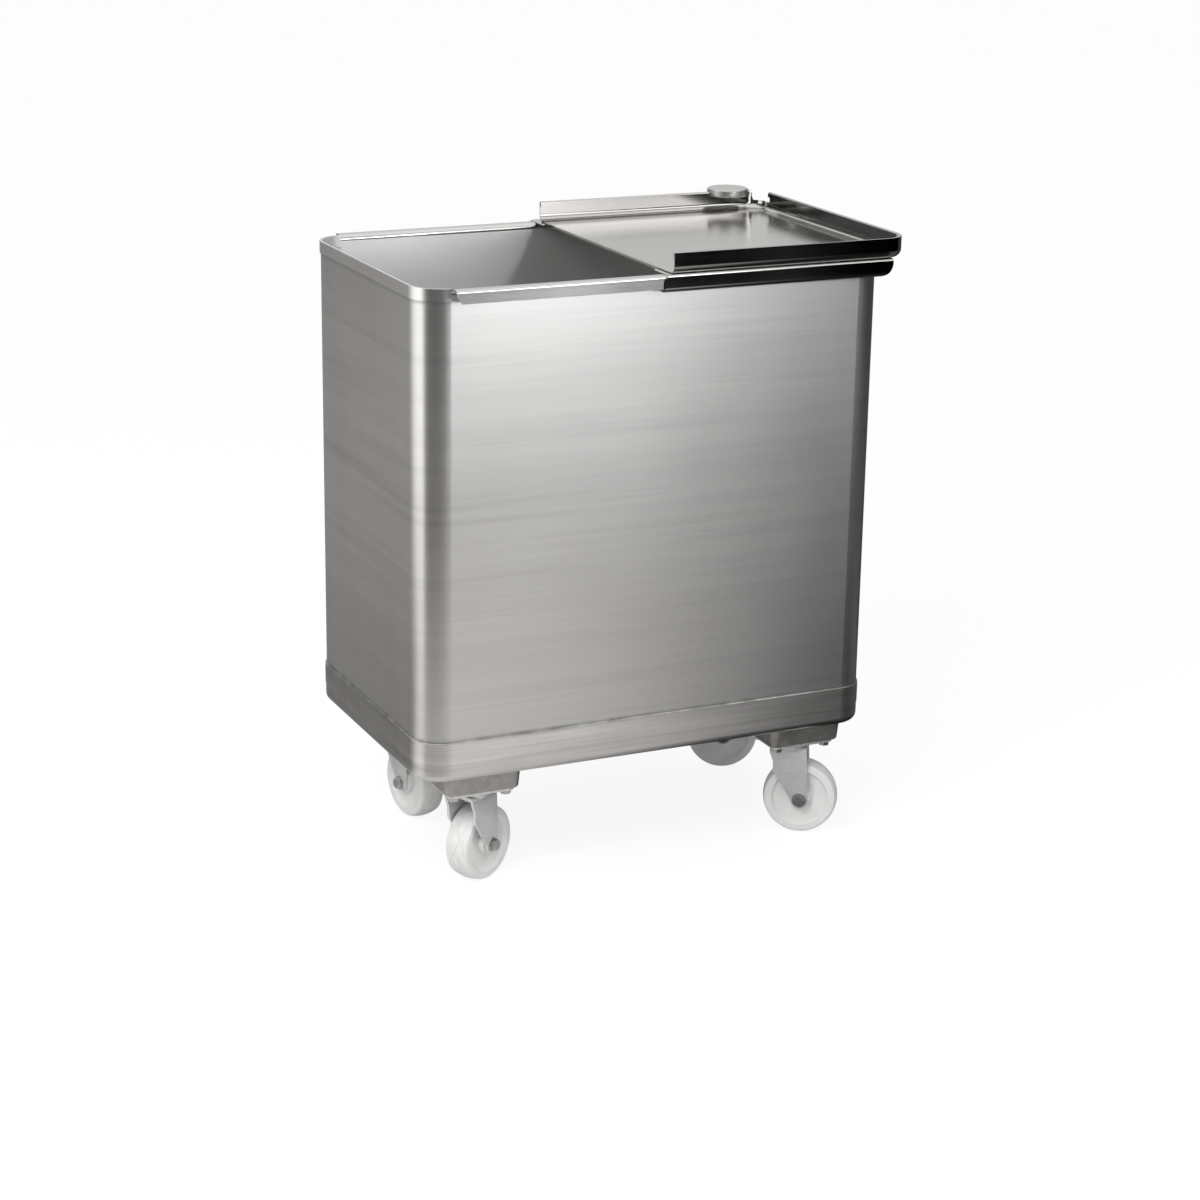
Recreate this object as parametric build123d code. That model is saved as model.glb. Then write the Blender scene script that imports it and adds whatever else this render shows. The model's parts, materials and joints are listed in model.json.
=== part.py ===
from build123d import *
import os

# Rolling ingredient bin: a stainless tub on four swivel casters, with a half lid that slides on the rim.
# Millimetres. x runs along the bin and the lid covers its +x half, y runs across it with the front at -y,
# and z rises from the floor. The origin is on the floor, below the middle of the whole bin.

# Tub: a wrapped wall in a pressed pan
tub_length = 655.0
tub_width = 399.0
tub_height = 647.0
corner_radius = 40.0
wall_sheet = 1.5
hem_height = 16.0
hem_sheet = 1.5
pan_sheet = 1.8
pan_clearance = 0.2
pan_height = 55.0
pan_edge_radius = 10.0
pan_step_height = 26.0
pan_step_depth = 0.7
pan_lip_chamfer = 0.8

# Rim rails: the long walls' edges, turned out in a round bend and then down
rim_reach = 18.0
rim_drop = 17.0
rim_root_height = 8.0
rim_root_radius = 6.0
rim_bend_radius = 3.0
rim_end_slant = 8.0

# Lid: a tray with its walls turned up on three sides
lid_length = 345.0
lid_reach = 23.0
lid_rear_reach = 1.0
lid_sheet = 1.5
lid_run_clearance = 0.3
lid_corner_radius = 35.0
lid_rear_corner_radius = 22.0
lid_wall_height = 26.0
lid_bend_radius = 10.0
lid_bead_width = 4.5
lid_bead_height = 7.0
lid_bead_round = 2.2
lid_hem_width = 10.0
lid_hem_gap = 0.5
lid_notch_length = 34.0
lid_notch_depth = 12.0
lid_notch_slant = 5.0
lid_notch_sill = 11.0

# Guides: strips under the lid's long edges, hooked in under the rim rails
guide_length = 332.0
guide_lead = 11.0
guide_reach = 20.5
guide_seat_width = 45.5
guide_bend_radius = 3.0
guide_hook_radius = 6.0
guide_hook_tip = 7.5
guide_hook_gap = 3.0
guide_heel_radius = 18.0

# Knob: a round grip with a slot, pushed on the bead of the lid's rear wall
knob_from_end = 53.0
knob_radius = 29.0
knob_height = 11.0
knob_slot_depth = 6.3
knob_round = 2.5
knob_slot_clearance = 0.05

# Casters: where they stand, and the way each wheel trails at rest, in degrees from +x
caster_from_end = 87.0
caster_from_side = 66.0
front_caster_shift = 8.0
rear_caster_shift = 22.0
heading_front_left = 30.0
heading_front_right = -33.0
heading_rear_left = -80.0
heading_rear_right = -22.0

# Caster brackets: tapered trays under the pan
bracket_length = 110.0
bracket_width = 92.0
bracket_height = 31.0
bracket_taper = 6.0
bracket_sheet = 2.5
bracket_corner_radius = 12.0
bracket_foot_radius = 5.0

# Caster plate, its bolts and the swivel bearing
plate_length = 94.0
plate_width = 76.0
plate_sheet = 3.5
plate_corner_radius = 9.0
plate_bolt_spacing_x = 74.0
plate_bolt_spacing_y = 56.0
bolt_radius = 4.0
bolt_hole_clearance = 0.5
hex_width = 13.0
hex_height = 6.0
bolt_end = 2.0
cup_radius = 29.0
cup_sheet = 2.5
cup_gap = 1.2
ring_radius = 21.0
ring_width = 7.0
ring_height = 6.0
ring_chamfer = 1.5
race_clearance = 0.3
king_radius = 6.0
king_hex_width = 19.0
king_hex_height = 8.0
king_washer_radius = 13.0
king_washer_height = 2.0
running_clearance = 0.06

# Fork
fork_sheet = 4.0
fork_bend_radius = 8.0
fork_trail = 16.0
fork_crown_radius = 26.0
fork_crown_lead = 27.0
fork_crown_tail = 24.0
fork_crown_edge = 9.0
fork_neck_lead = 22.0
fork_neck_top = 22.0
fork_neck_foot = 36.0
fork_boss_radius = 12.0
fork_edge_round = 6.0
wheel_top_gap = 20.9

# Wheel, bush and axle
wheel_radius = 52.0
wheel_width = 34.0
wheel_crown = 3.0
wheel_shoulder_radius = 4.0
wheel_rim_depth = 9.0
wheel_dish_depth = 4.0
hub_radius = 15.0
hub_dish_depth = 7.0
hub_side_gap = 1.0
wheel_side_gap = 3.0
bush_wall = 3.0
bush_side_gap = 0.3
axle_radius = 4.0
flange_radius = 9.7
flange_height = 1.6
axle_end = 3.0

# Levels, from the floor up
axle_z = wheel_radius
crown_under = 2 * wheel_radius + wheel_top_gap
crown_top = crown_under + fork_sheet
plate_under = crown_top + ring_height + 2 * race_clearance
plate_top = plate_under + plate_sheet
pan_under = plate_top + bracket_height
rim_top = pan_under + tub_height
seat_under = rim_top + lid_run_clearance
panel_under = seat_under + lid_sheet
panel_top = panel_under + lid_sheet
lid_top = panel_top + lid_wall_height
hook_under = rim_top - rim_drop - guide_hook_gap - lid_sheet

# Places across the floor
pan_proud = pan_clearance + pan_sheet
tub_x = (max(pan_proud, hem_sheet) - lid_reach) / 2
tub_end_x = tub_x + tub_length / 2
tub_side_y = tub_width / 2
lid_end_x = tub_end_x + lid_reach
lid_start_x = lid_end_x - lid_length
rail_half = tub_length / 2 - corner_radius
knob_reach = lid_rear_reach - lid_bead_width / 2 + knob_radius
middle_y = (lid_reach - max(guide_reach, knob_reach)) / 2
far = 2 * (tub_length + tub_width + tub_height)


def outline(grow, low, high):
    """Upright block with the tub's outline, grown outwards by a distance."""
    radius = corner_radius + grow
    shape = RectangleRounded(tub_length + 2 * grow, tub_width + 2 * grow, radius)
    return Pos(tub_x, 0, low) * extrude(shape, high - low)


def hex_block(width, height):
    """Hexagonal bolt head or nut standing on z = 0."""
    return extrude(RegularPolygon(width / 2, 6, major_radius=False), height)


def rod(radius, low, high):
    """Round upright rod between two levels."""
    return Pos(0, 0, low) * Cylinder(radius, high - low, align=(Align.CENTER, Align.CENTER, Align.MIN))


def folded(points, radius, sheet):
    """Section of a folded sheet: its outer face follows the points, and its metal lies to their right."""
    return make_face(offset(FilletPolyline(points, radius=radius), sheet, side=Side.RIGHT))


def side_plane(x):
    """Section plane across the front edge: its first axis points out of the wall, its second one up."""
    return Plane(origin=(x, -tub_side_y, 0), x_dir=(0, -1, 0), z_dir=(-1, 0, 0))


def tub_shell():
    foot = pan_under + pan_edge_radius
    shell = outline(0, foot, rim_top) - outline(-wall_sheet, foot, rim_top)
    hem = outline(hem_sheet, rim_top - hem_height, rim_top) - outline(0, rim_top - hem_height, rim_top)
    rail_span = Pos(tub_x, 0, rim_top) * Box(2 * rail_half, far, 2 * hem_height)
    rail_seat = Pos(tub_x, 0, rim_top) * Box(2 * rail_half, far, 2 * rim_root_height)
    return (shell - rail_seat) + (hem - rail_span)


def base_pan():
    step = pan_under + pan_step_height
    top = pan_under + pan_height
    lower = outline(pan_proud - pan_step_depth, pan_under, step)
    lower = fillet(lower.edges().group_by(Axis.Z)[0], pan_edge_radius)
    upper = outline(pan_proud, step, top)
    upper = chamfer(upper.edges().group_by(Axis.Z)[-1], pan_lip_chamfer)
    inside = outline(pan_clearance, pan_under + pan_sheet, top)
    inside = fillet(inside.edges().group_by(Axis.Z)[0], pan_edge_radius - pan_sheet)
    return lower + upper - inside


def rim_rail():
    low = rim_top - rim_drop
    root = rim_top - rim_root_height
    points = [(-wall_sheet, root), (-wall_sheet, rim_top), (rim_reach, rim_top), (rim_reach, low)]
    section = folded(points, [rim_root_radius, rim_bend_radius], wall_sheet)
    rail = extrude(side_plane(tub_x) * section, rail_half, both=True)
    foot = rail_half - rim_end_slant
    right = [(0, rim_top), (rail_half, rim_top), (rail_half, root), (foot, low), (0, low)]
    side = make_face(Polyline(right, close=True))
    blank = extrude(Plane.XZ * (side + mirror(side, about=Plane.YZ)), far, both=True)
    return rail & Pos(tub_x, 0, 0) * blank


def lid_block(inset, low, high):
    """Upright block with the lid's outline, drawn in from its three walls."""
    front = tub_side_y + lid_reach - inset
    rear = tub_side_y + lid_rear_reach - inset
    end = lid_length - inset
    plate = Rectangle(end, front + rear, align=(Align.MIN, Align.MIN))
    plate = fillet(plate.vertices().sort_by_distance((end, 0))[0], lid_corner_radius - inset)
    plate = fillet(plate.vertices().sort_by_distance((end, front + rear))[0], lid_rear_corner_radius - inset)
    return Pos(lid_start_x, -front, low) * extrude(plate, high - low)


def walled_edges(block, level):
    """Edges of a lid block at its foot (0) or top (-1), without those on the lid's open side."""
    return block.edges().group_by(Axis.Z)[level].filter_by_position(Axis.X, lid_start_x + lid_sheet, far)


def corner_notch():
    """Block that opens the lid's rear corner above a low sill."""
    sill = panel_top + lid_notch_sill
    cut = lid_end_x - lid_notch_depth
    points = [(cut, sill), (cut - lid_notch_slant, lid_top), (far, lid_top), (far, sill)]
    rear = tub_side_y + lid_rear_reach
    return Pos(0, rear, 0) * extrude(Plane.XZ * make_face(Polyline(points, close=True)), lid_notch_length)


def lid_tray():
    outer = lid_block(0, panel_under, lid_top)
    outer = fillet(walled_edges(outer, 0), lid_bend_radius)
    inner = lid_block(lid_sheet, panel_top, lid_top)
    inner = fillet(walled_edges(inner, 0), lid_bend_radius - lid_sheet)
    bead_low = lid_top - lid_bead_height
    bead = lid_block(0, bead_low, lid_top) - lid_block(lid_bead_width, bead_low, lid_top)
    bead = fillet(walled_edges(bead, -1), lid_bead_round)
    hem_length = tub_width + 2 * (guide_reach - guide_seat_width - lid_hem_gap)
    hem = Rectangle(lid_hem_width, hem_length, align=(Align.MIN, Align.CENTER))
    hem = Pos(lid_start_x, 0, seat_under) * extrude(hem, lid_sheet)
    return outer - inner + bead + hem - corner_notch()


def lid_guide():
    tip = guide_reach - guide_hook_radius - guide_hook_tip
    points = [
        (guide_reach - guide_seat_width, panel_under),
        (guide_reach, panel_under),
        (guide_reach, hook_under),
        (tip, hook_under),
    ]
    section = folded(points, [guide_bend_radius, guide_hook_radius], lid_sheet)
    start = lid_start_x - guide_lead
    strip = extrude(side_plane(start) * section, -guide_length)
    tall = panel_under - hook_under
    cheek = Rectangle(guide_length, tall, align=(Align.MIN, Align.MIN))
    nose = cheek.vertices().sort_by_distance((0, tall))[0]
    cheek = fillet(nose, guide_lead)
    heel = cheek.vertices().sort_by_distance((guide_length, 0))[0]
    cheek = Pos(start, hook_under) * fillet(heel, guide_heel_radius)
    return strip & extrude(Plane.XZ * cheek, far, both=True)


def lid_knob():
    puck = fillet(Cylinder(knob_radius, knob_height).edges().filter_by(GeomType.CIRCLE), knob_round)
    slot_width = lid_bead_width + 2 * knob_slot_clearance
    slot_depth = knob_slot_depth + knob_slot_clearance
    slot = Pos(0, 0, -knob_height / 2) * Box(far, slot_width, 2 * slot_depth)
    wall_y = tub_side_y + lid_rear_reach - lid_bead_width / 2
    knob_z = lid_top - knob_slot_depth + knob_height / 2
    return Pos(lid_end_x - knob_from_end, wall_y, knob_z) * (puck - slot)


def bolt_places():
    return GridLocations(plate_bolt_spacing_x, plate_bolt_spacing_y, 2, 2)


def tray(inset):
    """Tapered block that hangs from the pan, drawn in on its sides and its foot by a sheet or not at all."""
    length = bracket_length - 2 * inset
    width = bracket_width - 2 * inset
    mouth = RectangleRounded(length, width, bracket_corner_radius - inset)
    block = Pos(0, 0, pan_under) * extrude(mouth, inset - bracket_height, taper=bracket_taper)
    return fillet(block.edges().group_by(Axis.Z)[0], bracket_foot_radius - inset)


def bracket():
    hole = rod(bolt_radius + bolt_hole_clearance, plate_top, pan_under)
    return tray(0) - tray(bracket_sheet) - [place * hole for place in bolt_places()]


def caster_plate():
    sheet = RectangleRounded(plate_length, plate_width, plate_corner_radius)
    plate = Pos(0, 0, plate_under) * extrude(sheet, plate_sheet)
    cup_low = crown_top + cup_gap
    cup = rod(cup_radius, cup_low, plate_under) - rod(cup_radius - cup_sheet, cup_low, plate_under)
    hole = rod(bolt_radius + bolt_hole_clearance, plate_under, plate_top)
    king_hole = rod(king_radius + running_clearance, plate_under, plate_top)
    return plate + cup - [place * hole for place in bolt_places()] - king_hole


def ball_ring():
    level = crown_top + race_clearance + ring_height / 2
    section = Pos(ring_radius, level) * Rectangle(ring_width, ring_height)
    section = chamfer(section.vertices(), ring_chamfer)
    return revolve(Plane.XZ * section, Axis.Z)


def king_bolt():
    head_top = crown_under - race_clearance
    washer_under = head_top - king_washer_height
    head = Pos(0, 0, washer_under - king_hex_height) * hex_block(king_hex_width, king_hex_height)
    return head + rod(king_washer_radius, washer_under, head_top) + rod(king_radius, head_top, plate_top)


def plate_bolt():
    end = plate_top + bracket_sheet + hex_height + bolt_end
    head = Pos(0, 0, plate_under - hex_height) * hex_block(hex_width, hex_height)
    return head + rod(bolt_radius, plate_under, end)


def plate_nut():
    low = plate_top + bracket_sheet
    nut = Pos(0, 0, low) * hex_block(hex_width, hex_height)
    return nut - rod(bolt_radius + running_clearance, low, low + hex_height)


fork_inside = wheel_width + 2 * wheel_side_gap
fork_outside = fork_inside + 2 * fork_sheet


def fork():
    low = axle_z - fork_boss_radius
    points = [
        (-fork_crown_lead, crown_top),
        (-fork_crown_lead, crown_top - fork_crown_edge),
        (-fork_neck_lead, crown_top - fork_neck_top),
        (-fork_neck_lead, crown_top - fork_neck_foot),
        (fork_trail - fork_boss_radius, axle_z),
        (fork_trail + fork_boss_radius, axle_z),
        (fork_crown_tail, crown_top),
    ]
    side = make_face(Polyline(points, close=True))
    neck = [side.vertices().sort_by_distance(point)[0] for point in points[1:4]]
    side = fillet(neck, fork_edge_round) + Pos(fork_trail, axle_z) * Circle(fork_boss_radius)
    legs = extrude(Plane.XZ * side, fork_outside, both=True)
    outer = Pos(0, low) * Rectangle(fork_outside, crown_top - low, align=(Align.CENTER, Align.MIN))
    outer = fillet(outer.vertices().group_by(Axis.Y)[-1], fork_bend_radius)
    inner = Pos(0, low) * Rectangle(fork_inside, crown_under - low, align=(Align.CENTER, Align.MIN))
    inner = fillet(inner.vertices().group_by(Axis.Y)[-1], fork_bend_radius - fork_sheet)
    channel = extrude(Plane.YZ * (outer - inner), far, both=True)
    crown = rod(fork_crown_radius, crown_under, crown_top)
    king_hole = rod(king_radius + running_clearance, low, crown_top)
    axle_hole = Cylinder(axle_radius + running_clearance, 2 * fork_outside, rotation=(90, 0, 0))
    return (legs & channel) + crown - king_hole - Pos(fork_trail, 0, axle_z) * axle_hole


def axle_turned(section):
    """Solid turned about the axle from a section drawn as radius and distance along the axle."""
    return Pos(fork_trail, 0, axle_z) * Rot(90, 0, 0) * revolve(Plane.XZ * section, Axis.Z)


bush_radius = axle_radius + running_clearance + bush_wall


def wheel():
    half = wheel_width / 2
    rim_inner = wheel_radius - wheel_crown - wheel_rim_depth
    bore = bush_radius + running_clearance
    hub_half = fork_inside / 2 - hub_side_gap
    dish = [
        (rim_inner, half),
        (rim_inner - wheel_dish_depth, half - wheel_dish_depth),
        (hub_radius, half - hub_dish_depth),
        (hub_radius, hub_half),
        (bore, hub_half),
    ]
    shoulder = (wheel_radius - wheel_crown, half)
    tread = ThreePointArc((wheel_radius - wheel_crown, -half), (wheel_radius, 0), shoulder)
    face = Polyline([shoulder] + dish)
    back = mirror(face, about=Plane.XZ)
    closing = Line((bore, hub_half), (bore, -hub_half))
    section = make_face([tread, face, back, closing])
    ends = section.vertices().filter_by_position(Axis.X, shoulder[0], shoulder[0])
    return axle_turned(fillet(ends, wheel_shoulder_radius))


def bush():
    length = fork_inside - 2 * bush_side_gap
    inner = axle_radius + running_clearance
    return axle_turned(Pos(inner, 0) * Rectangle(bush_wall, length, align=(Align.MIN, Align.CENTER)))


def flanged_hex(height):
    """Hexagon on a round flange, standing on z = 0."""
    return rod(flange_radius, 0, flange_height) + Pos(0, 0, flange_height) * hex_block(hex_width, height)


def axle_bolt():
    seat = fork_outside / 2
    end = seat + flange_height + hex_height + axle_end
    bolt = Pos(0, 0, seat) * flanged_hex(hex_height) + rod(axle_radius, -end, seat)
    return Pos(fork_trail, 0, axle_z) * Rot(90, 0, 0) * bolt


def axle_nut():
    seat = fork_outside / 2
    bore = rod(axle_radius + running_clearance, 0, flange_height + hex_height)
    nut = Pos(0, 0, seat) * (flanged_hex(hex_height) - bore)
    return Pos(fork_trail, 0, axle_z) * Rot(-90, 0, 0) * nut


os.makedirs("parts", exist_ok=True)


def save(name, shape):
    """Writes one piece, moved across so that the origin is below the middle of the bin's outer box."""
    export_step(Pos(0, middle_y, 0) * shape, f"parts/{name}.step")


front_rim = rim_rail()
front_guide = lid_guide()
save("tub_shell", tub_shell())
save("base_pan", base_pan())
save("front_rim_rail", front_rim)
save("rear_rim_rail", mirror(front_rim, about=Plane.XZ))
save("lid_tray", lid_tray())
save("lid_front_guide", front_guide)
save("lid_rear_guide", mirror(front_guide, about=Plane.XZ))
save("lid_knob", lid_knob())

left_x = tub_x - tub_length / 2 + caster_from_end
right_x = tub_end_x - caster_from_end
side_y = tub_side_y - caster_from_side
casters = {
    "front_left": (left_x + front_caster_shift, -side_y, heading_front_left),
    "front_right": (right_x + front_caster_shift, -side_y, heading_front_right),
    "rear_left": (left_x + rear_caster_shift, side_y, heading_rear_left),
    "rear_right": (right_x + rear_caster_shift, side_y, heading_rear_right),
}
fixed_pieces = {
    "bracket": bracket(),
    "plate": caster_plate(),
    "ball_ring": ball_ring(),
    "king_bolt": king_bolt(),
}
turning_pieces = {
    "fork": fork(),
    "wheel": wheel(),
    "bush": bush(),
    "axle_bolt": axle_bolt(),
    "axle_nut": axle_nut(),
}
bolts = []
nuts = []
for corner_name, (x, y, heading) in casters.items():
    stand = Pos(x, y, 0)
    for piece_name, piece in fixed_pieces.items():
        save(f"{corner_name}_{piece_name}", stand * piece)
    for piece_name, piece in turning_pieces.items():
        save(f"{corner_name}_{piece_name}", stand * Rot(0, 0, heading) * piece)
    bolts += [stand * place * plate_bolt() for place in bolt_places()]
    nuts += [stand * place * plate_nut() for place in bolt_places()]
save("plate_bolts", Compound(bolts))
save("plate_nuts", Compound(nuts))
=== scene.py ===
import json
import math
import bpy
import numpy as np
from mathutils import Matrix, Vector


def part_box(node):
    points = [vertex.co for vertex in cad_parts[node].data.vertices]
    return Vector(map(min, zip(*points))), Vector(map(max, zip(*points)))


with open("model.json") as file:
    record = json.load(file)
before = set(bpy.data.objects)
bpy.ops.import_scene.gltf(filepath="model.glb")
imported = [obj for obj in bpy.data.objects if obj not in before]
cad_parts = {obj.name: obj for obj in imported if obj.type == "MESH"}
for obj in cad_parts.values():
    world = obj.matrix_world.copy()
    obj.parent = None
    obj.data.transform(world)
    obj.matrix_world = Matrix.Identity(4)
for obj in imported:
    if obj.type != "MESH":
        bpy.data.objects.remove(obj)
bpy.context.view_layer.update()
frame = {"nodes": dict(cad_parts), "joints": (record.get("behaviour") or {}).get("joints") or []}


# Tub wall
# One sheet of stainless steel, wrapped round four upright corners and welded shut, with a folded hem as the
# upper edge of its short sides. It is brushed along its length, so its gloss is drawn out upright, and it
# carries faint bands, slightly slanted darker streaks and wipe marks. Its inner face is left dull. The hem
# is painted paler, a painted sheen, with painted shade under its lower edge, and a dark line of grime and
# painted shade runs at the pan's joint.
class Wire:
    """One socket of a node tree. Sums, differences and products of wires add Math nodes."""

    def __init__(self, tree, socket=None):
        self.tree = tree
        self.socket = socket

    def node(self, kind, settings=None, sockets=None, out=0):
        """Adds a node, sets its settings, fills its sockets and gives back one of its outputs."""
        made = self.tree.nodes.new(kind)
        for key, value in (settings or {}).items():
            if key == "stops":
                while len(made.color_ramp.elements) < len(value):
                    made.color_ramp.elements.new(1.0)
                for element, (place, grey) in zip(made.color_ramp.elements, value):
                    element.position = place
                    element.color = (grey, grey, grey, 1.0)
            else:
                setattr(made, key, value)
        for key, value in (sockets or {}).items():
            if isinstance(value, Wire):
                self.tree.links.new(value.socket, made.inputs[key])
            else:
                made.inputs[key].default_value = value
        return Wire(self.tree, made.outputs[out]) if len(made.outputs) else None

    def maths(self, operation, first, second=0.0):
        return self.node("ShaderNodeMath", {"operation": operation}, {0: first, 1: second})

    def __add__(self, other):
        return self.maths("ADD", self, other)

    __radd__ = __add__

    def __sub__(self, other):
        return self.maths("SUBTRACT", self, other)

    def __rsub__(self, other):
        return self.maths("SUBTRACT", other, self)

    def __mul__(self, other):
        return self.maths("MULTIPLY", self, other)

    __rmul__ = __mul__

    def noise(self, scale, detail=2.0, turn=(0.0, 0.0, 0.0)):
        """Noise from 0 to 1 on this place, drawn out along the axes with small scales."""
        turned = self.node("ShaderNodeMapping", {}, {"Vector": self, "Scale": scale, "Rotation": turn})
        return self.node("ShaderNodeTexNoise", {}, {"Vector": turned, "Scale": 1.0, "Detail": detail})

    def along(self, axis):
        """How far this place lies along one axis."""
        return self.node("ShaderNodeSeparateXYZ", {}, {0: self}, axis)

    def rise(self, low, high):
        """From 0 at low to 1 at high and level beyond, also where high is the lesser."""
        return self.node("ShaderNodeMapRange", {}, {0: self, 1: low, 2: high})

    def band(self, start, full, fade, end):
        """From 0 at start to 1 at full, level up to fade, and back to 0 at end."""
        return self.rise(start, full) * self.rise(end, fade)

    def ramp(self, *stops):
        """A grey read from stops, each a place and its grey."""
        return self.node("ShaderNodeValToRGB", {"stops": stops}, {0: self})

    def blend(self, dark, light):
        """The colour between dark and light at this share."""
        return self.node("ShaderNodeMix", {"data_type": "RGBA"}, {0: self, 6: dark, 7: light}, 2)


def new_finish(name):
    """An empty material, the wire that its nodes start from and its place on the piece."""
    finish = bpy.data.materials.new(name)
    finish.use_nodes = True
    finish.node_tree.nodes.clear()
    start = Wire(finish.node_tree)
    return finish, start, start.node("ShaderNodeTexCoord", {}, {}, "Object")


def shade(start, sockets):
    """Closes a material with one surface shader."""
    shader = start.node("ShaderNodeBsdfPrincipled", {}, sockets)
    start.node("ShaderNodeOutputMaterial", {}, {"Surface": shader})


def dress(nodes, finish):
    """Gives CAD nodes their finish."""
    for name in nodes:
        for slot in frame["nodes"][name].material_slots:
            slot.material = finish


def brushed_sheet(name, dark, light, roughness, grain, bands, drawn, marks=None):
    """Brushed steel: grain and bands are noise scales per metre, small along the brushing.
    drawn is how far the gloss is drawn out across the brushing, from 0 to 1. marks gives the colour,
    roughness and share of bare metal where the piece is worn, soiled or left dull."""
    finish, start, place = new_finish(name)
    lines = place.noise(grain, 1.0)
    broad = place.noise(bands, 2.0)
    wiped = place.noise((6.0, 26.0, 4.0), 4.0, (0.7, 0.0, 0.0))
    tone = lines * 0.3 + broad * 0.45 + wiped * 0.25
    colour = tone.ramp((0.3, 0.0), (0.7, 1.0)).blend(dark, light)
    gloss = roughness - 0.03 + lines * 0.02 + wiped.ramp((0.35, 0.0), (0.7, 1.0)) * 0.03
    metal = 1.0
    if marks:
        colour, gloss, metal = marks(start, place, colour, gloss)
    scratches = {"Strength": 0.04, "Distance": 0.00005, "Height": lines}
    shade(start, {
        "Base Color": colour,
        "Metallic": metal,
        "Roughness": gloss,
        "Normal": start.node("ShaderNodeBump", {}, scratches),
        "Anisotropic": drawn,
        "Anisotropic Rotation": 0.25,
    })
    return finish


shell_low, shell_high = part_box("tub_shell")
rail_low, rail_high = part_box("front_rim_rail")
hem_height = 0.016
hem_sheet = 0.0015
hem_z = shell_high.z - hem_height
joint_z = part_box("base_pan")[1].z
corner_radius = (shell_high.x - shell_low.x - rail_high.x + rail_low.x) / 2 - hem_sheet
# A pale tone for the dull inner face and for the painted sheen on the hem.
sheen_and_dull_tone = (0.88, 0.878, 0.875, 1)
streak_tone = (0.36, 0.36, 0.355, 1)
# A dark tone for grime and for painted shade.
dirt_and_shade_tone = (0.16, 0.15, 0.135, 1)


def joint_dirt_and_shade(place):
    """Old grime and painted shade in a thin uneven line where the pan's upper edge lies on the wall, from
    3 mm below the edge to 5 mm above it. The painted shade dims the bright reflection on the pan's upper
    edge."""
    line = (place.along("Z") - joint_z).band(-0.003, -0.001, 0.001, 0.005)
    patches = place.noise((45.0, 45.0, 20.0), 3.0).ramp((0.3, 0.35), (0.65, 1.0))
    return line * 0.6 * patches


def wall_marks(start, place, colour, gloss):
    """A dark line at the pan's joint, partly grime and partly painted shade; painted shade in the last 6 mm
    below the hem; a paler hem, which is a painted sheen; darker, slightly slanted streaks, strongest about
    0.6 m up and not on the inner face; and an inner face left dull. The inner face is where the reach from
    the corners' centres, the square root of the squares of the ways past the straight runs, is less than the
    corner radius."""
    middle = [(low + high) / 2 for low, high in zip(shell_low, shell_high)]
    straight_x = (rail_high.x - rail_low.x) / 2
    straight_y = (shell_high.y - shell_low.y) / 2 - hem_sheet - corner_radius
    past_x = start.maths("ABSOLUTE", place.along("X") - middle[0]) - straight_x
    past_y = start.maths("ABSOLUTE", place.along("Y") - middle[1]) - straight_y
    out_x = start.maths("MAXIMUM", past_x, 0.0)
    out_y = start.maths("MAXIMUM", past_y, 0.0)
    reach = start.maths("SQRT", out_x * out_x + out_y * out_y)
    inside = (reach - corner_radius).rise(-0.0004, -0.001)

    height = place.along("Z")
    above_hem = height - hem_z
    ends = past_x.rise(-0.0005, 0.0005)
    # The hem is painted paler: a painted sheen.
    hem = ends * above_hem.rise(-0.0003, 0.0003)
    # Painted shade under the hem's lower edge, over the last 6 mm below it.
    below = ends * above_hem.band(-0.006, -0.0005, 0.0, 0.0005)
    sheened_and_dulled = (hem * 0.45 + inside * 0.8).blend(colour, sheen_and_dull_tone)

    # Darker, slightly slanted streaks, strongest about 0.6 m up and kept off the inner face.
    streaks = place.noise((1.4, 1.4, 46.0), 3.0, (0.0, 0.04, 0.0)).ramp((0.54, 0.0), (0.7, 1.0))
    spread = height.ramp((0.35, 0.3), (0.6, 1.0), (0.78, 0.4))
    streak_marks = streaks * spread * (1 - inside)
    streaked = (streak_marks * 0.25).blend(sheened_and_dulled, streak_tone)

    # Grime and painted shade at the pan's joint, and painted shade under the hem.
    dirt_and_shade = joint_dirt_and_shade(place) + below * 0.4
    darkened = dirt_and_shade.blend(streaked, dirt_and_shade_tone)
    return darkened, gloss + inside * 0.06 + dirt_and_shade * 0.2, 1 - inside * 0.15


wall_steel = brushed_sheet(
    "wall_steel",
    dark=(0.67, 0.67, 0.667, 1),
    light=(0.765, 0.765, 0.758, 1),
    roughness=0.375,
    grain=(4.0, 4.0, 230.0),
    bands=(1.5, 1.5, 60.0),
    drawn=0.5,
    marks=wall_marks,
)
dress(["tub_shell"], wall_steel)


# Base pan
# A pressed pan of slightly thicker sheet that wraps the foot of the wall and is the tub's floor. It was
# ground by hand, so its lines are coarser and waver along the strips.
def pan_marks(start, place, colour, gloss):
    """Grime and painted shade at the joint with the wall."""
    dirt_and_shade = joint_dirt_and_shade(place)
    return dirt_and_shade.blend(colour, dirt_and_shade_tone), gloss + dirt_and_shade * 0.2, 1.0


pan_steel = brushed_sheet(
    "pan_steel",
    dark=(0.50, 0.495, 0.485, 1),
    light=(0.90, 0.895, 0.88, 1),
    roughness=0.33,
    grain=(5.0, 5.0, 240.0),
    bands=(3.5, 3.5, 75.0),
    drawn=0.8,
    marks=pan_marks,
)
dress(["base_pan"], pan_steel)


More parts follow.
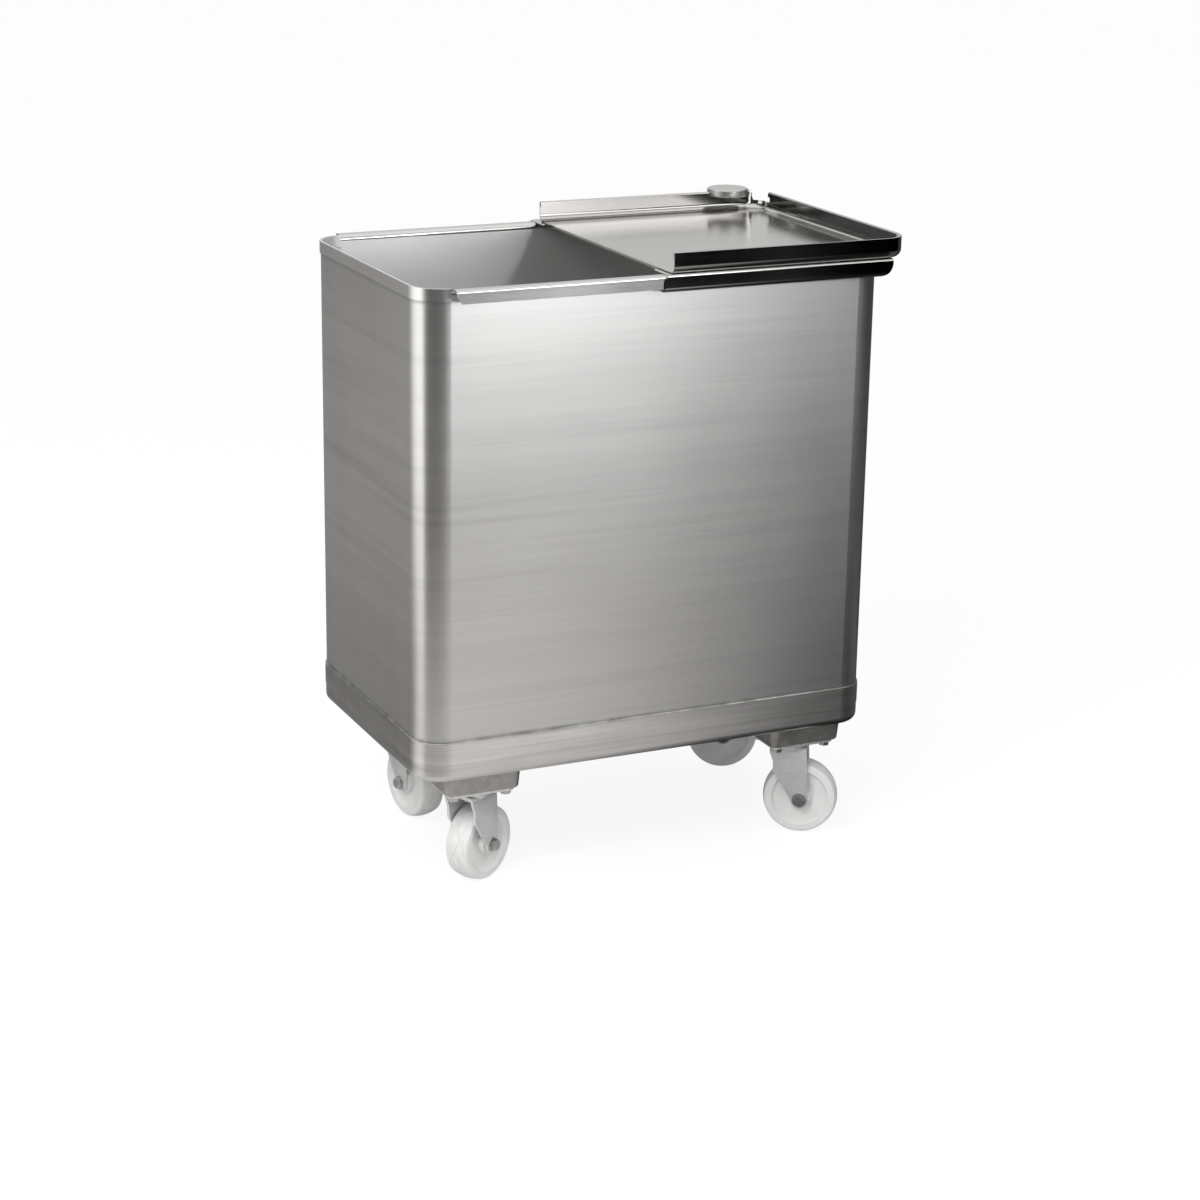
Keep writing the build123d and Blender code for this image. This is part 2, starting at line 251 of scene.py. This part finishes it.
# Rim rails
# The upper edges of the long walls, turned out in a round bend and then down, with a slanted end where the
# corners begin. They are planished smooth, because the lid runs on them.
rim_steel = brushed_sheet(
    "rim_steel",
    dark=(0.64, 0.64, 0.63, 1),
    light=(0.73, 0.73, 0.72, 1),
    roughness=0.17,
    grain=(4.0, 260.0, 260.0),
    bands=(2.0, 60.0, 60.0),
    drawn=0.6,
)
dress(["front_rim_rail", "rear_rim_rail"], rim_steel)


# Lid
# A tray of cold-rolled sheet with turned-up, beaded walls and the dull mirror of the mill. Its two guides
# are strips of the same sheet, hooked under the rim rails. Only fine rolling lines run along it.
tray_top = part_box("lid_tray")[1].z


def panel_marks(start, place, colour, gloss):
    """The panel is worn to a satin by what is set down on it; the walls round it keep their mirror.
    Its upper face lies about 26 mm below the walls' upper edge."""
    panel = (place.along("Z") - tray_top).band(-0.0272, -0.0268, -0.0245, -0.0215)
    return colour, gloss + panel * 0.09, 1.0


lid_steel = brushed_sheet(
    "lid_steel",
    dark=(0.56, 0.552, 0.54, 1),
    light=(0.63, 0.622, 0.61, 1),
    roughness=0.085,
    grain=(3.0, 220.0, 60.0),
    bands=(2.0, 40.0, 20.0),
    drawn=0.0,
    marks=panel_marks,
)
dress(["lid_tray", "lid_front_guide", "lid_rear_guide"], lid_steel)


# Knob
# A low round grip of turned metal, with the fine rings that the tool left on it. A slot in it is pushed
# over the bead of the lid's rear wall.
knob_low, knob_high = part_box("lid_knob")
knob_middle = [(low + high) / 2 for low, high in zip(knob_low, knob_high)]
knob_metal, start, place = new_finish("knob_metal")
centred = start.node("ShaderNodeMapping", {"vector_type": "TEXTURE"},
                     {"Vector": place, "Location": knob_middle})
rings = start.node("ShaderNodeTexWave", {"wave_type": "RINGS", "rings_direction": "Z"},
                   {"Vector": centred, "Scale": 240.0, "Distortion": 0.6, "Detail": 2.0})
dull = place.noise((60.0, 60.0, 60.0), 3.0)
shade(start, {
    "Base Color": (rings * 0.4 + dull * 0.6).blend((0.56, 0.56, 0.55, 1), (0.68, 0.68, 0.67, 1)),
    "Metallic": 1.0,
    "Roughness": 0.40 + rings * 0.05 + dull * 0.06,
    "Normal": start.node("ShaderNodeBump", {}, {"Strength": 0.1, "Distance": 0.0001, "Height": rings}),
})
dress(["lid_knob"], knob_metal)


# Caster brackets, plates and forks
# Pressed steel: tapered trays under the pan, the plates that are bolted to them, and the forks that turn
# below. All are zinc plated, a soft grey with faint crystal clouds, and the forks are paler and duller.
corners = ("front_left", "front_right", "rear_left", "rear_right")


def plated(name, dark, light, roughness, crystals, metal):
    """Zinc plate: cells of slightly different tone over broad clouds. crystals is the cells' scale per
    metre, and metal is less where the plate has gone dull."""
    finish, start, place = new_finish(name)
    cells = start.node("ShaderNodeTexVoronoi", {}, {"Vector": place, "Scale": crystals}, "Color")
    cell = start.node("ShaderNodeSeparateColor", {}, {0: cells})
    clouds = place.noise((30.0, 30.0, 30.0), 4.0)
    specks = place.noise((700.0, 700.0, 700.0), 2.0)
    pits = {"Strength": 0.1, "Distance": 0.0001, "Height": specks}
    shade(start, {
        "Base Color": (cell * 0.3 + clouds * 0.7).ramp((0.25, 0.0), (0.75, 1.0)).blend(dark, light),
        "Metallic": metal,
        "Roughness": roughness + clouds * 0.14 + cell * 0.05,
        "Normal": start.node("ShaderNodeBump", {}, pits),
    })
    return finish


bracket_zinc = plated(
    "bracket_zinc",
    dark=(0.36, 0.352, 0.335, 1),
    light=(0.50, 0.49, 0.47, 1),
    roughness=0.38,
    crystals=160.0,
    metal=0.85,
)
fork_zinc = plated(
    "fork_zinc",
    dark=(0.70, 0.71, 0.71, 1),
    light=(0.84, 0.85, 0.85, 1),
    roughness=0.32,
    crystals=260.0,
    metal=0.6,
)
dress([corner + "_bracket" for corner in corners], bracket_zinc)
dress([corner + part for corner in corners for part in ("_plate", "_fork")], fork_zinc)


# Fasteners, ball rings and bushes
# Bolts and nuts that hold the casters, the king bolts and axles that they turn on, and the rings and bushes
# that they run in. All are turned or rolled steel, bright plated.
bright_plate = plated(
    "bright_plate",
    dark=(0.50, 0.50, 0.49, 1),
    light=(0.72, 0.72, 0.71, 1),
    roughness=0.25,
    crystals=420.0,
    metal=1.0,
)
small_parts = ("_king_bolt", "_axle_bolt", "_axle_nut", "_ball_ring", "_bush")
dress(["plate_bolts", "plate_nuts"], bright_plate)
dress([corner + part for corner in corners for part in small_parts], bright_plate)


# Wheels
# Solid white polyamide, moulded and turned true on the tread, on a bush that runs on the axle. The tread is
# scuffed and a little greyer than the flanks, which keep faint rings of the mould.
def wheel_plastic(corner):
    """White plastic about one wheel's own axle: the place is moved to the wheel's middle and turned, so
    that y runs along the axle and the square root of x squared plus z squared is the reach from it."""
    low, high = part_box(corner + "_wheel")
    middle = [(a + b) / 2 for a, b in zip(low, high)]
    axle = [joint["axis"] for joint in frame["joints"] if joint["name"] == corner + "_wheel_spin"][0]
    heading = math.atan2(-axle[0], axle[1])
    radius = (high.z - low.z) / 2
    finish, start, place = new_finish(corner + "_wheel_plastic")
    own = start.node("ShaderNodeMapping", {"vector_type": "TEXTURE"},
                     {"Vector": place, "Location": middle, "Rotation": (0.0, 0.0, heading)})
    flat = start.node("ShaderNodeVectorMath", {"operation": "MULTIPLY"}, {0: own, 1: (1.0, 0.0, 1.0)})
    reach = start.node("ShaderNodeVectorMath", {"operation": "LENGTH"}, {0: flat}, "Value") * (1 / radius)
    rings = start.maths("SINE", reach * 180.0)
    scuffs = own.noise((90.0, 500.0, 90.0), 4.0)
    mottle = own.noise((45.0, 45.0, 45.0), 3.0)
    tread = reach.ramp((0.93, 0.0), (0.99, 1.0))
    darkened = (tread * 0.5 + 0.12) * scuffs.ramp((0.42, 0.0), (0.75, 1.0)) + mottle * 0.12
    relief = {"Strength": 0.1, "Distance": 0.0002, "Height": rings * 0.3 + scuffs}
    shade(start, {
        "Base Color": darkened.blend((0.80, 0.80, 0.79, 1), (0.55, 0.54, 0.52, 1)),
        "Roughness": 0.34 + tread * 0.16 + mottle * 0.08,
        "Normal": start.node("ShaderNodeBump", {}, relief),
        "IOR": 1.53,
    })
    dress([corner + "_wheel"], finish)


for corner in corners:
    wheel_plastic(corner)


# Floor
# A pale sweep. The camera sees it white with a faint shadow. Polished steel sees it pale near the bin and
# dark further off, as in a studio that is lit around the object only.
def flat_card(name, origin, across, up):
    """A flat sheet over two parameters from 0 to 1: origin plus u times across plus v times up. Its UV map
    holds u and v."""
    u, v = np.meshgrid(np.linspace(0, 1, 3), np.linspace(0, 1, 3))
    points = np.array(origin) + u[..., None] * np.array(across) + v[..., None] * np.array(up)
    index = np.arange(9).reshape(3, 3)
    faces = np.stack([index[:-1, :-1], index[:-1, 1:], index[1:, 1:], index[1:, :-1]], -1).reshape(-1, 4)
    mesh = bpy.data.meshes.new(name)
    mesh.from_pydata(points.reshape(-1, 3).tolist(), [], faces.tolist())
    mesh.uv_layers.new(name="card")
    share = np.stack([u, v], -1).reshape(-1, 2)[faces.reshape(-1)]
    mesh.uv_layers["card"].data.foreach_set("uv", share.reshape(-1).astype(np.float32))
    card = bpy.data.objects.new(name, mesh)
    bpy.context.scene.collection.objects.link(card)
    return card


floor = flat_card("floor", (-20, -20, 0), (40, 0, 0), (0, 40, 0))
floor_sweep, start, place = new_finish("floor_sweep")
camera_ray = start.node("ShaderNodeLightPath", {}, {}, "Is Camera Ray")
glossy_ray = start.node("ShaderNodeLightPath", {}, {}, "Is Glossy Ray")
away = start.node("ShaderNodeVectorMath", {"operation": "LENGTH"}, {0: place}, "Value")
east = place.along("X")
north = place.along("Y")

# In front of the bin the pale pool ends to the right and about four metres off
pool = ((east + north * 0.62) * 0.2 + 0.8).ramp(
    (0.08, 0.08), (0.34, 0.2), (0.6, 0.6), (0.68, 0.76), (0.72, 0.7), (0.745, 0.58), (0.765, 0.44),
    (0.785, 0.24), (0.8, 0.07), (0.83, 0.01), (0.9, 0.02), (1.0, 0.12))
near = (away * 0.2).ramp((0.2, 1.0), (0.42, 0.62), (0.6, 0.62), (0.72, 0.4), (0.84, 0.02), (0.9, 0.0))

# Behind the bin it grows paler with distance and is dark to the right
behind = (north * 0.25 + 0.5).ramp((0.5, 0.0), (0.56, 1.0))
far = (away * 0.12).ramp((0.05, 0.42), (0.22, 0.9), (0.75, 0.95), (0.95, 0.1))
rear = ((east - north * 0.35) * 0.25 + 0.5).ramp((0.34, 0.32), (0.42, 0.75), (0.46, 0.75), (0.55, 0.05))

pale = pool * near * (1 - behind) + behind * far * rear
matt = start.node("ShaderNodeBsdfDiffuse", {}, {"Color": (0.8, 0.8, 0.8, 1)})
white = start.node("ShaderNodeEmission", {}, {"Color": (1, 1, 1, 1), "Strength": 0.88})
shadow = start.node("ShaderNodeBsdfDiffuse", {}, {"Color": (0.16, 0.16, 0.16, 1)})
seen = start.node("ShaderNodeAddShader", {}, {0: white, 1: shadow})
mirrored = start.node("ShaderNodeEmission", {}, {"Color": (1, 0.972, 0.945, 1), "Strength": pale})
other = start.node("ShaderNodeMixShader", {}, {0: glossy_ray, 1: matt, 2: mirrored})
shown = start.node("ShaderNodeMixShader", {}, {0: camera_ray, 1: other, 2: seen})
start.node("ShaderNodeOutputMaterial", {}, {"Surface": shown})
floor.data.materials.append(floor_sweep)


# Light cards
# Three soft boxes that only the steel sees. One stands in front of the bin to the right, with a hard near
# edge, and fades towards its far side. One hangs over that, and a tall one stands to the left of the bin.
def light_card(name, origin, across, up, strength, tint, lengthways, upwards):
    """A card that shows in polished steel only. lengthways and upwards are stops of its light over its
    length and height, and the card's light is strength times both."""
    card = flat_card(name, origin, across, up)
    finish, start, _ = new_finish(name + "_light")
    share = start.node("ShaderNodeTexCoord", {}, {}, "UV")
    light = share.along("X").ramp(*lengthways) * share.along("Y").ramp(*upwards) * strength
    glow = start.node("ShaderNodeEmission", {}, {"Color": tint, "Strength": light})
    start.node("ShaderNodeOutputMaterial", {}, {"Surface": glow})
    card.data.materials.append(finish)
    card.visible_camera = False
    card.visible_diffuse = False
    card.visible_shadow = False
    card.visible_transmission = False


light_card(
    "front_card",
    origin=(0.12, -1.7, 0.68),
    across=(1.2, 0, 0),
    up=(0, 0, 0.4),
    strength=8.0,
    tint=(0.99, 0.995, 1, 1),
    lengthways=((0.0, 1.0), (0.38, 0.92), (0.52, 0.62), (0.64, 0.24), (0.76, 0.0)),
    upwards=((0.0, 0.7), (0.4, 1.0)),
)
light_card(
    "high_card",
    origin=(0.5, -1.7, 1.12),
    across=(1.6, 0, 0),
    up=(0, 0, 0.7),
    strength=2.3,
    tint=(1, 0.99, 0.985, 1),
    lengthways=((0.0, 0.9), (0.8, 1.0), (1.0, 0.5)),
    upwards=((0.0, 1.0), (1.0, 0.7)),
)
light_card(
    "left_card",
    origin=(-1.6, -0.43, 0.0),
    across=(0, 2.1, 0),
    up=(0, 0, 2.0),
    strength=1.8,
    tint=(1, 0.985, 0.95, 1),
    lengthways=((0.0, 1.0), (0.45, 0.8), (1.0, 0.2)),
    upwards=((0.0, 0.8), (0.5, 1.0)),
)


# Room
# Plain light from all round, and white where the camera sees past the floor. The steel sees a room with a
# pale far wall, dark sides and a bright ceiling.
world = bpy.data.worlds.new("studio_room")
bpy.context.scene.world = world
world.use_nodes = True
world.node_tree.nodes.clear()
start = Wire(world.node_tree)
direction = start.node("ShaderNodeTexCoord", {}, {}, "Generated")
compass = start.maths("ARCTAN2", direction.along("Y"), direction.along("X")) * (0.5 / math.pi) + 0.5
walls = compass.ramp(
    (0.0, 0.04), (0.3, 0.01), (0.48, 0.06), (0.58, 0.1), (0.66, 0.69), (0.77, 0.69), (0.79, 0.46),
    (0.808, 0.09), (1.0, 0.04))
ceiling = direction.along("Z").ramp((0.35, 0.0), (0.75, 1.0))
room = walls * (1 - ceiling) + ceiling * 1.05
camera_ray = start.node("ShaderNodeLightPath", {}, {}, "Is Camera Ray")
glossy_ray = start.node("ShaderNodeLightPath", {}, {}, "Is Glossy Ray")
plain = start.node("ShaderNodeBackground", {}, {"Color": (1, 1, 1, 1), "Strength": 0.62})
steel_sees = start.node("ShaderNodeBackground", {}, {"Color": (1, 0.995, 0.985, 1), "Strength": room})
white = start.node("ShaderNodeBackground", {}, {"Color": (1, 1, 1, 1), "Strength": 1.0})
lit = start.node("ShaderNodeMixShader", {}, {0: glossy_ray, 1: plain, 2: steel_sees})
shown = start.node("ShaderNodeMixShader", {}, {0: camera_ray, 1: lit, 2: white})
start.node("ShaderNodeOutputWorld", {}, {"Surface": shown})


# Lamps
# A broad soft lamp lights the bin from the left in front. A narrow one from the right reaches over the rim
# and throws the lid's slanted shadow on the tub's inner rear wall. The steel mirrors neither.
def hang_lamp(lamp, place, turn):
    """Puts a lamp up where the steel doesn't mirror it."""
    hung = bpy.data.objects.new(lamp.name, lamp)
    bpy.context.scene.collection.objects.link(hung)
    hung.location = place
    hung.rotation_euler = turn
    hung.visible_glossy = False


soft_key = bpy.data.lights.new("soft_key", "AREA")
soft_key.shape = "RECTANGLE"
soft_key.size = 2.0
soft_key.size_y = 1.4
soft_key.energy = 70.0
hang_lamp(soft_key, (-2.2, -1.8, 2.6), (math.radians(42), 0.0, math.radians(-50)))

tub_spot = bpy.data.lights.new("tub_spot", "SPOT")
tub_spot.spot_size = math.radians(15)
tub_spot.spot_blend = 0.6
tub_spot.shadow_soft_size = 0.3
tub_spot.energy = 900.0
spot_place = Vector((1.2, -1.6, 2.9))
spot_target = Vector((-0.17, 0.1, 0.65))
hang_lamp(tub_spot, spot_place, (spot_target - spot_place).to_track_quat("-Z", "Y").to_euler())


# Camera
# It stands to the left in front of the bin, above its rim, at the photograph's own angle. Its place, turn
# and lens were found from the straight edges of the tub.
azimuth, elevation, roll = (math.radians(angle) for angle in (-25.133, 17.398, 0.928))
camera_place = (-1.5530, -3.319675, 1.4727)
back = np.array([
    math.sin(azimuth) * math.cos(elevation),
    -math.cos(azimuth) * math.cos(elevation),
    math.sin(elevation),
])
level = np.array([math.cos(azimuth), math.sin(azimuth), 0.0])
upright = np.cross(back, level)
right = math.cos(roll) * level + math.sin(roll) * upright
up = math.cos(roll) * upright - math.sin(roll) * level
turn = Matrix(np.array([right, up, back]).T.tolist()).to_4x4()
view = bpy.data.cameras.new("camera")
view.sensor_width = 36.0
view.lens = 83.37
camera = bpy.data.objects.new("camera", view)
bpy.context.scene.collection.objects.link(camera)
camera.matrix_world = Matrix.Translation(camera_place) @ turn
bpy.context.scene.camera = camera
bpy.context.scene.view_settings.view_transform = "Standard"
